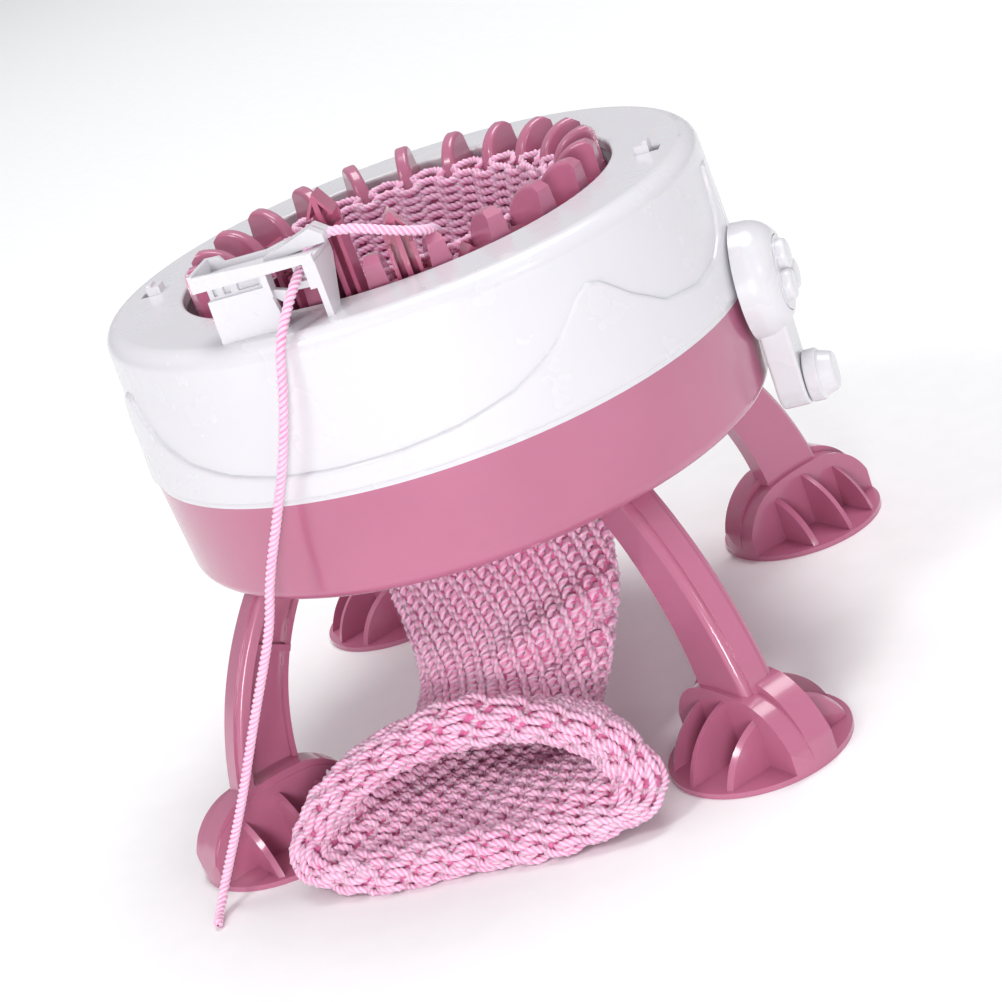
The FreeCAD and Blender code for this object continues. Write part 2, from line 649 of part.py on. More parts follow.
def leg():
    """One leg at azimuth 0: a bowed flange with a web on one side of it, a foot and a snap tongue."""
    outer = LEG_OUTER_CURVE
    under = offset_curve(outer, -3.4)
    w = LEG_HALF_WIDTH
    web = strip(outer, LEG_INNER_CURVE, -w, -0.9)
    web = filleted(web, 2.0, lambda e: abs(mid(e).y + w) < 0.01 and e.Length > 30 and mid(e).x > 90)
    flange = strip(outer, under, -w + 2.0, w)
    flange = filleted(flange, 1.2, lambda e: abs(mid(e).y - w) < 0.01 and e.Length > 30 and mid(e).x > 97)
    ridge = strip(offset_curve(outer, 0.7), offset_curve(outer, -1.0), -2.8, 3.2)
    lip = strip(offset_curve(LEG_INNER_CURVE, 1.6), LEG_INNER_CURVE, -w, 0.8)
    brace = box(-1.0, 1.0, -1.5, 1.2, -14, 14)
    brace.rotate(ORIGIN, Y_DIR, 62)
    brace.translate(V(85.0, 0, 56.0))
    brace = brace.common(strip(outer, LEG_INNER_CURVE, -w, w))
    body = joined([web, flange, ridge, lip, brace, moved(foot(), FOOT_CENTRE_R, 0, 0)])
    above = Part.makeCylinder(140, 30, V(0, 0, BASE_BOTTOM_Z))
    return body.cut(above).fuse(leg_tongue(0))


# ======== yarn guide

def yarn_guide():
    """Bracket that snaps over the cover's front edge: a front plate, a thread window and a corner gusset."""
    y0, y1 = -79.4, -77.4
    plate = prism_xz([(-29.2, 145.0), (-9.0, 145.0), (-11.6, 163.0), (-28.6, 163.0)], y0, y1)
    strip_behind = box(-28.4, -12.0, -77.6, -75.2, 158.0, 166.2)
    grooves = [box(-27.0, -22.0, -78.0, -76.6, 163.6, 165.6), box(-20.0, -14.0, -78.0, -76.6, 163.6, 165.6)]
    post = box(-12.6, -10.8, y0, -75.4, 160.0, 166.2)
    sill = prism_xz([(-11.6, 159.4), (-9.6, 157.4), (-5.6, 159.6), (1.4, 159.2), (1.4, 161.4), (-5.8, 161.2),
                     (-7.4, 160.1), (-10.8, 161.2)], -77.2, -75.4)
    right_post = box(-0.4, 1.6, y0, -75.4, 159.2, 166.2)
    gusset = prism_yz([(-64.2, 166.2), (-79.4, 166.2), (-79.4, 145.0), (-77.0, 145.0), (-64.2, 163.5)], 1.4, 3.2)
    back = box(-26.0, -24.0, -77.6, -66.4, 145.0, 166.2)
    body = joined([plate, strip_behind.cut(grooves), post, sill, right_post, gusset, back])
    return body.cut(cover_outline())


def yarn_tray():
    """Open channel across the top of the bracket, with an eyelet below and the split nose that feeds the needles."""
    x0, x1, y0, y1 = -31.4, 1.2, -80.0, -64.4
    floor = box(x0, 3.2, y0, y1, 166.3, 167.5)
    front = prism_xz([(x0, 166.3), (3.2, 166.3), (3.2, 168.4), (-6.0, 169.2), (x0, 170.6)], y0, y0 + 1.2)
    left = box(x0, x0 + 1.3, y0, y1, 166.3, 171.0)
    back = prism_xz([(x0, 166.3), (x1, 166.3), (x1, 170.5), (-9.0, 170.0), (-14.0, 169.0), (-26.0, 169.0),
                     (-27.0, 170.8), (x0, 171.0)], y1 - 1.3, y1)
    ramp = prism_xz([(-13.0, 167.0), (4.8, 168.4), (4.8, 170.4), (1.6, 172.8), (-4.0, 171.0), (-13.0, 168.4)], -71.5, -64.4)
    eyelet = box(-5.0, 0.8, -74.9, -66.0, 161.4, 166.4)
    split = box(0.8, 6.0, -68.6, -67.6, 167.0, 174.0)
    notch = prism_xy([(-9.5, -70.6), (-4.5, -68.6), (-4.5, -68.0), (-9.5, -70.0)], 168.6, 174.0)
    return joined([floor, front, left, back, ramp, eyelet]).cut([split, notch])


# ======== knitted tube and yarn

def knit_funnel():
    """The newest rows, hanging from the needles and turning with them."""
    top = (47.2, 148.6)
    return revolved([
        (top[0] - FABRIC, top[1], 0.8),
        (top[0], top[1], 0.8),
        (45.6, 138.0, 20),
        (40.5, 112.0, 60),
        (TUBE_TOP_R + 0.6, 92.0, 20),
        (TUBE_TOP_R, TUBE_TOP_Z + 0.4, 0),
        (TUBE_TOP_R - FABRIC, TUBE_TOP_Z + 0.4, 0),
        (TUBE_TOP_R - FABRIC + 0.6, 92.0, 20),
        (40.5 - FABRIC, 112.0, 60),
        (45.6 - FABRIC, 138.0, 20),
    ])


# Flat loops round the lower tube, from its top to its mouth: the centre, the half width across, how far the
# front side has turned up from pointing straight forward (degrees), and the reach to the front and to the back.
TUBE_LOOPS = (
    ((0, 0, TUBE_TOP_Z), TUBE_TOP_R, 0, 34.0, 34.0),
    ((2.5, -15.5, 68.5), 34.5, 15, 24.0, 24.0),
    ((5.5, -33, 56.5), 34.5, 38, 15.0, 15.0),
    ((5.5, -44, 43.0), 30.0, 52, 12.5, 13.0),
    ((4.5, -55.5, 30.0), 24.5, 71, 11.5, 12.5),
    ((3, -67, 21.0), 29.0, 92, 13.5, 12.0),
    ((-1, -83, 15.5), 38.5, 112, 17.0, 8.5),
    ((-4, -100, 10.1), 46.0, 139, 26.0, 5.5),
)
ROLL_R = 5.8
ROLL_CORNERS = ((-46.5, -5.2, 9), (46.5, -5.2, 9), (45.0, 13.0, 16), (24.0, 25.8, 24), (-24.0, 25.8, 24), (-45.0, 13.0, 16))


def loop_point(loop, across, ahead):
    """A point in a loop's plane, from its centre: across the tube, and towards its front side."""
    (x, y, z), _, tilt, _, _ = loop
    t = math.radians(tilt)
    return V(x + across, y - ahead * math.cos(t), z + ahead * math.sin(t))


def loop_wire(loop, inset):
    """A smooth closed curve made of half an ellipse to the front and half one to the back."""
    _, half_width, _, front, back = loop
    points = []
    for i in range(12):
        t = math.radians(30 * i)
        reach = front if math.sin(t) > 0 else back
        points.append(loop_point(loop, (half_width - inset) * math.cos(t), (reach - inset) * math.sin(t)))
    curve = Part.BSplineCurve()
    curve.interpolate(points, PeriodicFlag=True)
    return Part.Wire([curve.toShape()])


def tube_solid(inset):
    """The lower tube's outside, or its inside when inset is the fabric's thickness, span by span."""
    wires = [loop_wire(loop, inset) for loop in TUBE_LOOPS]
    spans = [Part.makeLoft(wires[i:i + 2], True, True) for i in range(len(wires) - 1)]
    return joined(spans)


def knit_tube():
    """The finished tube: it hangs from the base, bends forward and rests its mouth, with a rolled edge, on the table."""
    mouth = TUBE_LOOPS[-1]
    corners = [loop_point(mouth, across, ahead) for across, ahead, _ in ROLL_CORNERS]
    path = rounded_wire(corners, [radius for _, _, radius in ROLL_CORNERS])
    start = path.Edges[0].firstVertex().Point
    along = path.Edges[0].tangentAt(path.Edges[0].FirstParameter)
    section = Part.Wire([Part.makeCircle(ROLL_R, start, along)])
    roll = path.makePipeShell([section], True, False)
    return tube_solid(0).cut(tube_solid(FABRIC)).fuse(roll)


# The free yarn, from the guide's eyelet to its cut end on the table.
YARN_ROUTE = (
    (-2.2, -74.9, 164.5),
    (-3.4, -79.6, 162.6),
    (-5.6, -84.8, 158.4),
    (-8.8, -92.2, 151.0),
    (-12.4, -94.4, 137.0),
    (-18.6, -94.6, 121.5),
    (-27.0, -94.2, 105.5),
    (-35.0, -95.3, 90.0),
    (-39.4, -96.3, 77.5),
    (-47.0, -97.3, 64.0),
    (-55.0, -98.4, 50.0),
    (-62.8, -99.5, 35.5),
    (-70.0, -100.4, 23.0),
    (-75.2, -101.3, 14.6),
    (-78.3, -101.6, 9.5),
    (-80.0, -103.5, 5.9),
    (-80.9, -106.8, 3.1),
    (-80.8, -111.0, 1.6),
    (-79.8, -115.2, 1.6),
)


def cord_tube(name, route, diameter):
    """Straight runs joined by tangent arcs, as large as the runs beside them allow."""
    points = [V(*p) for p in route]
    radii = [0]
    for i in range(1, len(points) - 1):
        before = points[i].distanceToPoint(points[i - 1])
        after = points[i].distanceToPoint(points[i + 1])
        turn = math.pi - (points[i - 1] - points[i]).getAngle(points[i + 1] - points[i])
        radii.append(0.45 * min(before, after) / math.tan(turn / 2))
        print(f"  {name} point {i}: run {after:5.1f}  turn {math.degrees(turn):5.1f}  radius {radii[-1]:7.1f}")
    radii.append(0)
    path = rounded_wire(route, radii, closed=False)
    along = (points[1] - points[0]).normalize()
    section = Part.Wire([Part.makeCircle(diameter / 2, points[0], along)])
    solid = path.makePipeShell([section], True, False)
    expected = math.pi * diameter ** 2 / 4 * path.Length
    print(f"  {name}: length {path.Length:.1f}  volume {solid.Volume:.1f}  section times length {expected:.1f}")
    return solid


# ======== write every node

def main():
    save("base_housing", base_housing())
    save("top_cover", top_cover())
    save("housing_screws", housing_screws())
    save("cover_latches", cover_latches())
    save("cam_ring", cam_ring())
    save("bearing_ring", bearing_ring())
    save("crank_bush", crank_bush())
    blank = leg()
    for i, name in enumerate(("leg_back_right", "leg_back_left", "leg_front_left", "leg_front_right")):
        save(name, turned(blank, 45 + 90 * i))
    save("yarn_guide", yarn_guide())
    save("yarn_tray", yarn_tray())
    save("needle_cylinder", needle_cylinder())
    save("drive_gear", drive_gear())
    save("ring_screws", ring_screws())
    needles()
    save("crank_shaft", crank_shaft())
    save("crank_pinion", crank_pinion())
    save("crank_arm", crank_arm())
    save("hub_cap", hub_cap())
    save("crank_screw", crank_screw())
    save("knob_pin", knob_pin())
    save("crank_knob", crank_knob())
    save("knit_funnel", knit_funnel())
    save("knit_tube", knit_tube())
    save("yarn_strand", cord_tube("yarn_strand", YARN_ROUTE, YARN_D))


main()
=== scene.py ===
import json
import math

import bpy
import numpy as np
from mathutils import Matrix, Vector


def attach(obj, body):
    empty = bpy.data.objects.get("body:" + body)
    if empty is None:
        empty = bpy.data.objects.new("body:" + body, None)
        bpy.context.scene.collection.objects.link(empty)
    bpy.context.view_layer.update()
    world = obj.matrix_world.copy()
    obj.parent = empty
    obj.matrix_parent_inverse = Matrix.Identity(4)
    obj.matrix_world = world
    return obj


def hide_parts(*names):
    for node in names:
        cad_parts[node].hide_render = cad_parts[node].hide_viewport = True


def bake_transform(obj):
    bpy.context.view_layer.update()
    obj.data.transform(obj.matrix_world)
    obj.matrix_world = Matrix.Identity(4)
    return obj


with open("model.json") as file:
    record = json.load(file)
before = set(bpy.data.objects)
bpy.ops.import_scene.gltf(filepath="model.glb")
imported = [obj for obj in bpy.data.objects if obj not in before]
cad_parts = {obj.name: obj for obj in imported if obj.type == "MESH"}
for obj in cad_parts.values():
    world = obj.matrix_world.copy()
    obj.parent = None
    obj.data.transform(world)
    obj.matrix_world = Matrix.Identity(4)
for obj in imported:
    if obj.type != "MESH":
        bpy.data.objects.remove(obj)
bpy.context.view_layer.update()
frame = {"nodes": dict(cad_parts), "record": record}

# Visual model of a toy circular knitting machine. Lengths in the constants are in millimetres
# unless a name ends in _M; every object is built in metres.

MM = 0.001
scene = bpy.context.scene
scene.view_settings.view_transform = "Standard"

# ---- camera
CAMERA_AT = (219.5, -635.9, 307.2)
CAMERA_FORWARD = (-0.3051, 0.8874, -0.3455)
CAMERA_RIGHT = (0.9263, 0.1924, -0.3238)
CAMERA_LENS = 85.8
LIGHT_TARGET_M = (0, 0, 0.08)
FLOOR_HALF_M = 4

# ---- yarn
YARN_D = 2.8
YARN_SIDES = 18
FABRIC_YARN_SIDES = 6
FABRIC_YARN_R = 1.32
PLY_TURN = 5.0
PLY_VALLEY = 0.66
YARN_ROUTE_M = (
    (-0.0022, -0.0749, 0.1645), (-0.0034, -0.0796, 0.1626), (-0.0056, -0.0848, 0.1584), (-0.0088, -0.0922, 0.1510),
    (-0.0124, -0.0944, 0.1370), (-0.0186, -0.0946, 0.1215), (-0.0270, -0.0942, 0.1055), (-0.0350, -0.0953, 0.0900),
    (-0.0394, -0.0963, 0.0775), (-0.0470, -0.0973, 0.0640), (-0.0550, -0.0984, 0.0500), (-0.0628, -0.0995, 0.0355),
    (-0.0700, -0.1004, 0.0230), (-0.0752, -0.1013, 0.0146), (-0.0783, -0.1016, 0.0095), (-0.0800, -0.1035, 0.0059),
    (-0.0809, -0.1068, 0.0031), (-0.0808, -0.1110, 0.0016), (-0.0798, -0.1152, 0.0016),
)
FEED_ROUTE_M = (
    (-0.0022, -0.0749, 0.1645), (-0.0010, -0.0704, 0.1676), (0.0040, -0.0660, 0.1696), (0.0100, -0.0656, 0.1686),
    (0.0146, -0.0640, 0.1666), (0.0208, -0.0606, 0.1632), (0.0262, -0.0570, 0.1606), (0.0270, -0.0495, 0.1586),
    (0.0254, -0.0430, 0.1554),
)

# ---- needle ring
NEEDLES = 22
PITCH = 360.0 / NEEDLES
NEEDLE_PHASE = 1.9 + PITCH / 2

# ---- cover
SEAM_Z, SEAM_R = 106.3, 91.1
COVER_TOP_Z, COVER_TOP_R = 151.1, 89.4


# ======== camera, floor and light

def place_camera():
    data = bpy.data.cameras.new("camera")
    data.lens = CAMERA_LENS
    data.sensor_width = 36
    camera = bpy.data.objects.new("camera", data)
    scene.collection.objects.link(camera)
    forward = Vector(CAMERA_FORWARD).normalized()
    right = Vector(CAMERA_RIGHT)
    right = (right - forward * right.dot(forward)).normalized()
    up = right.cross(forward)
    turn = Matrix((right, up, -forward)).transposed().to_4x4()
    camera.matrix_world = Matrix.Translation(Vector(CAMERA_AT) * MM) @ turn
    scene.camera = camera


def add_light(name, at, size, energy):
    """A round soft light, placed in metres and aimed at the middle of the machine."""
    data = bpy.data.lights.new(name, "AREA")
    data.shape = "DISK"
    data.size = size
    data.energy = energy
    light = bpy.data.objects.new(name, data)
    scene.collection.objects.link(light)
    light.location = at
    aim = Vector(LIGHT_TARGET_M) - light.location
    light.rotation_euler = aim.to_track_quat("-Z", "Y").to_euler()


def light_scene():
    world = bpy.data.worlds.new("world")
    world.use_nodes = True
    world.node_tree.nodes["Background"].inputs["Color"].default_value = (0.96, 0.97, 1.0, 1)
    world.node_tree.nodes["Background"].inputs["Strength"].default_value = 0.48
    scene.world = world
    add_light("key", (-1.5, -2.4, 3.0), 0.9, 37)
    add_light("front", (0.5, -2.5, 0.36), 0.7, 31)
    add_light("fill", (2.4, -1.6, 1.4), 0.5, 5)
    add_light("top", (0.4, 1.0, 3.6), 2.2, 78)


# ======== materials

class Nodes:
    """A material with one Principled shader, and short ways to add nodes to it."""

    def __init__(self, name, colour, roughness):
        self.material = bpy.data.materials.new(name)
        self.material.use_nodes = True
        self.material.diffuse_color = (*colour, 1)
        self.tree = self.material.node_tree
        self.shader = self.tree.nodes["Principled BSDF"]
        self.shader.inputs["Base Color"].default_value = (*colour, 1)
        self.shader.inputs["Roughness"].default_value = roughness

    def node(self, kind, settings=(), **inputs):
        made = self.tree.nodes.new(kind)
        for key, value in settings:
            setattr(made, key, value)
        for key, value in inputs.items():
            self.set(made, key.replace("_", " "), value)
        return made

    def set(self, node, socket, value):
        target = node.inputs[socket]
        if isinstance(value, bpy.types.NodeSocket):
            self.tree.links.new(value, target)
        else:
            target.default_value = value

    def coordinates(self):
        return self.node("ShaderNodeTexCoord").outputs["Object"]

    def noise(self, scale, detail=3.0, where=None):
        made = self.node("ShaderNodeTexNoise", Scale=scale, Detail=detail)
        self.set(made, "Vector", where or self.coordinates())
        return made.outputs["Fac"]

    def ramp(self, value, low, high, into):
        """A colour ramp between two colours as value goes over the range into."""
        made = self.node("ShaderNodeMapRange", From_Min=into[0], From_Max=into[1])
        self.set(made, "Value", value)
        mix = self.node("ShaderNodeMix", (("data_type", "RGBA"),))
        self.tree.links.new(made.outputs["Result"], mix.inputs["Factor"])
        for socket, colour in (("A_Color", low), ("B_Color", high)):
            target = next(i for i in mix.inputs if i.identifier == socket)
            target.default_value = (*colour, 1)
        return next(o for o in mix.outputs if o.identifier == "Result_Color")

    def scaled(self, value, low, high, into=(0.3, 0.7)):
        made = self.node("ShaderNodeMapRange", From_Min=into[0], From_Max=into[1], To_Min=low, To_Max=high)
        self.set(made, "Value", value)
        return made.outputs["Result"]

    def bump(self, height, strength, distance, under=None):
        made = self.node("ShaderNodeBump", Strength=strength, Distance=distance)
        self.set(made, "Height", height)
        if under is not None:
            self.set(made, "Normal", under)
        return made.outputs["Normal"]


def moulded_plastic(name, colour, dark, roughness, coat):
    """Glossy injection-moulded plastic: faint mottling, flow marks, fine scuffs and a slightly uneven gloss."""
    n = Nodes(name, colour, roughness)
    mottle = n.noise(22, 4)
    n.set(n.shader, "Base Color", n.ramp(mottle, dark, colour, (0.35, 0.6)))
    scuffs = n.noise(1400, 2)
    flow = n.noise(55, 3)
    n.set(n.shader, "Roughness", n.scaled(flow, roughness - 0.02, roughness + 0.03))
    uneven = n.bump(flow, 0.03, 0.0002)
    n.set(n.shader, "Normal", n.bump(scuffs, 0.10, 0.00006, uneven))
    n.shader.inputs["Coat Weight"].default_value = coat
    n.shader.inputs["Coat Roughness"].default_value = 0.08
    n.shader.inputs["Subsurface Weight"].default_value = 0.08
    n.shader.inputs["Subsurface Scale"].default_value = 0.002
    return n.material


def brushed_steel():
    n = Nodes("steel", (0.6, 0.6, 0.62), 0.3)
    n.shader.inputs["Metallic"].default_value = 1
    stretch = n.node("ShaderNodeMapping")
    n.set(stretch, "Vector", n.coordinates())
    stretch.inputs["Scale"].default_value = (1, 1, 18)
    grain = n.noise(700, 3, stretch.outputs["Vector"])
    n.set(n.shader, "Base Color", n.ramp(grain, (0.45, 0.45, 0.48), (0.68, 0.68, 0.70), (0.3, 0.7)))
    n.set(n.shader, "Roughness", n.scaled(grain, 0.22, 0.42))
    n.set(n.shader, "Normal", n.bump(grain, 0.15, 0.0001))
    return n.material


def plied_yarn(name, lit, shade_and_patch_colour):
    """Soft plied acrylic: fine fibres along the plies; a deeper colour painted as shade into the grooves between the
    plies, and the same colour in random patches.
    """
    n = Nodes(name, lit, 0.55)
    valley_shade = n.node("ShaderNodeAttribute", (("attribute_name", "valley_shade"),)).outputs["Fac"]
    fibres_at = n.node("ShaderNodeMapping")
    uv = n.node("ShaderNodeUVMap", (("uv_map", "yarn"),))
    n.set(fibres_at, "Vector", uv.outputs["UV"])
    fibres_at.inputs["Scale"].default_value = (0.5, 24, 1)
    fibres_at.inputs["Rotation"].default_value = (0, 0, 0.18)
    fibres = n.noise(2.6, 4, fibres_at.outputs["Vector"])
    patches = n.noise(95, 2)
    # painted shade: the valley mask lays the deeper colour into the grooves between the plies; the patches add it at
    # random
    shade_and_patch_mix = n.node("ShaderNodeMath", (("operation", "MULTIPLY_ADD"),))
    n.set(shade_and_patch_mix, 0, patches)
    shade_and_patch_mix.inputs[1].default_value = 0.7
    n.set(shade_and_patch_mix, 2, valley_shade)
    uneven = n.node("ShaderNodeMath", (("operation", "MULTIPLY_ADD"),))
    n.set(uneven, 0, fibres)
    uneven.inputs[1].default_value = 0.5
    n.set(uneven, 2, shade_and_patch_mix.outputs[0])
    # the lit colour on the ply tops, the deeper colour where the painted shade and the patches fall
    n.set(n.shader, "Base Color", n.ramp(uneven.outputs[0], lit, shade_and_patch_colour, (0.85, 2.0)))
    n.set(n.shader, "Roughness", n.scaled(fibres, 0.42, 0.66))
    n.set(n.shader, "Normal", n.bump(fibres, 0.5, 0.00022))
    n.shader.inputs["Specular IOR Level"].default_value = 0.3
    n.shader.inputs["Subsurface Weight"].default_value = 0.3
    n.shader.inputs["Subsurface Radius"].default_value = (1.0, 0.35, 0.55)
    n.shader.inputs["Subsurface Scale"].default_value = 0.003
    return n.material


def painted_shade_sheet():
    """A dark sheet of painted shade behind the stitches, seen only in the gaps between them."""
    n = Nodes("knit_shade", (0.72, 0.18, 0.38), 0.9)
    fuzz = n.noise(900, 4)
    n.set(n.shader, "Base Color", n.ramp(fuzz, (0.64, 0.13, 0.32), (0.80, 0.24, 0.45), (0.35, 0.65)))
    n.set(n.shader, "Normal", n.bump(fuzz, 0.6, 0.0006))
    n.shader.inputs["Sheen Weight"].default_value = 0.2
    return n.material


def pale_floor():
    n = Nodes("floor", (0.92, 0.92, 0.92), 0.8)
    grain = n.noise(90, 3)
    n.set(n.shader, "Base Color", n.ramp(grain, (0.91, 0.91, 0.91), (0.93, 0.93, 0.93), (0.3, 0.7)))
    return n.material


# ======== mesh helpers

def mesh_object(name, points, faces, material, smooth=True):
    mesh = bpy.data.meshes.new(name)
    mesh.vertices.add(len(points))
    mesh.vertices.foreach_set("co", np.asarray(points, np.float32).ravel())
    faces = np.asarray(faces, np.int32)
    mesh.loops.add(faces.size)
    mesh.loops.foreach_set("vertex_index", faces.ravel())
    mesh.polygons.add(len(faces))
    mesh.polygons.foreach_set("loop_start", np.arange(0, faces.size, 4, dtype=np.int32))
    mesh.polygons.foreach_set("use_smooth", np.full(len(faces), smooth))
    mesh.update()
    mesh.validate()
    mesh.materials.append(material)
    made = bpy.data.objects.new(name, mesh)
    scene.collection.objects.link(made)
    return made


def grid_faces(rows, columns, closed_columns):
    """Quads of a grid of points stored row by row."""
    r = np.arange(rows - 1)[:, None]
    c = np.arange(columns if closed_columns else columns - 1)[None, :]
    after = (c + 1) % columns
    quads = np.stack([r * columns + c, r * columns + after, (r + 1) * columns + after, (r + 1) * columns + c], -1)
    return quads.reshape(-1, 4)


def plied_tube(name, path, sides, radius, material, around, taper=True, start_length=0.0):
    """A three-ply yarn along path. around gives each point's reference direction, off the path's own."""
    step = np.linalg.norm(np.diff(path, axis=0), axis=1)
    length = np.concatenate([[0], np.cumsum(step)]) + start_length
    tangent = np.gradient(path, axis=0)
    tangent /= np.linalg.norm(tangent, axis=1)[:, None]
    first = around - tangent * np.sum(around * tangent, axis=1)[:, None]
    first /= np.linalg.norm(first, axis=1)[:, None]
    second = np.cross(tangent, first)
    angle = np.linspace(0, 2 * math.pi, sides, endpoint=False)[None, :]
    ridge = np.abs(np.cos(1.5 * angle))
    turned = angle + (2 * math.pi * length / (PLY_TURN * MM))[:, None]
    reach = radius * (PLY_VALLEY + (1 - PLY_VALLEY) * ridge) * np.ones((len(path), 1))
    if taper:
        ends = np.minimum(length - length[0], length[-1] - length)
        reach *= np.clip(0.25 + ends / radius, 0.25, 1)[:, None]
    points = (path[:, None, :] + first[:, None, :] * (reach * np.cos(turned))[..., None]
              + second[:, None, :] * (reach * np.sin(turned))[..., None])
    count = len(path)
    rings = points.reshape(-1, 3)
    quads = grid_faces(count, sides, True)
    made = mesh_object(name, rings, quads, material)
    mesh = made.data
    # mask for the painted shade in the grooves between the plies: 1 in a groove, 0 on a ply's top
    valley_shade = mesh.attributes.new("valley_shade", "FLOAT", "POINT")
    valley_shade.data.foreach_set("value", np.tile(1 - ridge[0], count).astype(np.float32))
    layer = mesh.uv_layers.new(name="yarn")
    corner = np.zeros(len(mesh.loops), np.int32)
    mesh.loops.foreach_get("vertex_index", corner)
    along = length[corner // sides] / (PLY_TURN * MM)
    across = (corner % sides) / sides
    across = np.where((across == 0) & (np.arange(len(corner)) % 4 % 3 != 0), 1.0, across)
    layer.data.foreach_set("uv", np.stack([along, across], -1).astype(np.float32).ravel())
    return made


def spline_path(points, per_run):
    """The points of a NURBS spline with these control points, as Blender's own curve gives them."""
    curve = bpy.data.curves.new("route", "CURVE")
    curve.dimensions = "3D"
    spline = curve.splines.new("NURBS")
    spline.points.add(len(points) - 1)
    for control, at in zip(spline.points, points):
        control.co = (*at, 1)
    spline.order_u = 3
    spline.use_endpoint_u = True
    spline.resolution_u = per_run
    carrier = bpy.data.objects.new("route", curve)
    scene.collection.objects.link(carrier)
    bpy.context.view_layer.update()
    mesh = bpy.data.meshes.new_from_object(carrier)
    path = np.array([v.co for v in mesh.vertices], float)
    bpy.data.objects.remove(carrier)
    bpy.data.meshes.remove(mesh)
    bpy.data.curves.remove(curve)
    return path


# ======== free yarn

def lay_yarn(yarn_material):
    sideways = np.array([[1.0, 0.15, 0.25]])
    path = spline_path(YARN_ROUTE_M, 56)
    strand = plied_tube("yarn_free", path, YARN_SIDES, YARN_D / 2 * MM, yarn_material,
                        np.repeat(sideways, len(path), 0))
    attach(strand, "base")
    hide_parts("yarn_strand")
    path = spline_path(FEED_ROUTE_M, 40)
    up = np.array([[0.2, 0.1, 1.0]])
    feed = plied_tube("yarn_feed", path, YARN_SIDES, YARN_D / 2 * MM, yarn_material,
                      np.repeat(up, len(path), 0))
    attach(feed, "base")


# ======== knitting

# Sections round the knitted tube at the middle of the fabric, from the needles to the mouth: the centre, the half
# width across, how far the front has turned up from pointing straight forward (degrees), and the reach to the
# front and to the back.
SECTIONS = (
    (0, 0, 150.3, 46.4, 0, 46.4, 46.4),
    (0, 0, 145.0, 45.6, 0, 45.6, 45.6),
    (0, 0, 136.0, 43.4, 0, 43.4, 43.4),
    (0, 0, 124.0, 40.4, 0, 40.4, 40.4),
    (0, 0, 110.0, 37.2, 0, 37.2, 37.2),
    (0, 0, 95.0, 33.6, 0, 33.6, 33.6),
    (0, 0, 83.4, 32.4, 0, 32.4, 32.4),
    (2.5, -15.5, 68.5, 32.9, 15, 22.4, 22.4),
    (5.5, -33, 56.5, 32.7, 38, 13.4, 13.4),
    (7.4, -44, 43.0, 29.8, 52, 11.4, 11.4),
    (6.2, -55.5, 30.0, 26.4, 71, 11.0, 10.9),
    (3.0, -67, 21.0, 26.8, 92, 11.6, 10.2),
    (-1.0, -83, 15.8, 35.4, 112, 13.4, 6.8),
    (-3.4, -101, 11.2, 42.6, 130, 21.0, 5.6),
)
WAIST = 11
MOUTH = 13
CUFF_TOP = 12.1
RIM_R = 5.4
COLUMNS = 352
# Row heights in the tube, the funnel and the cuff, and the lines of the fabric where the cuff ends and the tube starts.
ROW = 3.1
FUNNEL_ROW = 2.6
CUFF_ROW = 3.5
CUFF_END = 76
TUBE_START = 98
FLOOR_GAP = 0.25
BANDS = 6
FOLD_RIDGE = 5.2
FOLD_GROOVE = 6.4
NEWEST_REACH = 5.0
NEWEST_LIFT = 0.6


def sections_at(at):
    """Section numbers at fractional places along SECTIONS, by a smooth curve through them."""
    table = np.array(SECTIONS, float)
    at = np.asarray(at, float)
    i = np.clip(np.floor(at).astype(int), 0, len(table) - 2)
    f = (at - i)[:, None]
    before, here = table[np.maximum(i - 1, 0)], table[i]
    there, after = table[i + 1], table[np.minimum(i + 2, len(table) - 1)]
    start = (there - before) / 2
    end = (after - here) / 2
    return ((2 * f**3 - 3 * f**2 + 1) * here + (f**3 - 2 * f**2 + f) * start
            + (3 * f**2 - 2 * f**3) * there + (f**3 - f**2) * end)


def section_points(section, theta, out):
    """Points round one section at angles theta, moved out of it by out."""
    x, y, z, width, tilt, front, back = section
    tilt = math.radians(tilt)
    reach = np.where(np.sin(theta) < 0, front, back) + out
    across = (width + out) * np.cos(theta)
    ahead = -reach * np.sin(theta)
    return np.stack([x + across, y - ahead * math.cos(tilt), z + ahead * math.sin(tilt)], -1)


def even_angles(section, theta):
    """Angles for which the section's points are evenly spaced, starting at its front."""
    points = section_points(section, theta, 0.0)
    step = np.linalg.norm(np.diff(points, axis=0), axis=1)
    travelled = np.concatenate([[0], np.cumsum(step)])
    wanted = np.linspace(0, travelled[-1], COLUMNS, endpoint=False)
    return np.interp(wanted, travelled, theta)


